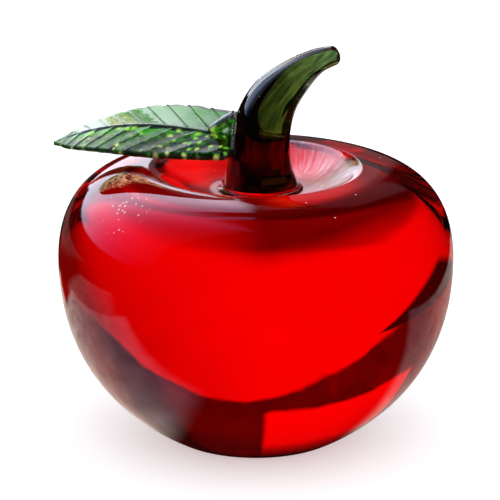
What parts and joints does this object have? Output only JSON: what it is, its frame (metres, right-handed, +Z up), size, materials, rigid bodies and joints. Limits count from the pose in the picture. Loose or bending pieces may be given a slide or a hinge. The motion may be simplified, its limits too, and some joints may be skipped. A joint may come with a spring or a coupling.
{
  "type": "glass apple ornament",
  "caption": "Solid red glass apple on a flat ground base, with a curved dark green glass stem and a pressed green glass leaf glued on.",
  "frame": {"origin": "centre of the flat ground face that the apple stands on", "axes": "+Z up through the middle of the apple; +X the way the stem leans, with the leaf towards -X; -Y the front"},
  "size_m": [0.082, 0.08, 0.0808],
  "materials": {
    "red_glass": "fire-polished solid glass, deep transparent red",
    "stem_glass": "fire-polished solid glass, very dark olive green",
    "leaf_glass": "pressed glass, clear bright green",
    "clear_adhesive": "clear cured adhesive, glossy"
  },
  "bodies": {
    "root": {"apple_body": "red_glass", "stem": "stem_glass", "stem_adhesive": "clear_adhesive", "leaf": "leaf_glass", "leaf_adhesive": "clear_adhesive"}
  },
  "joints": []
}
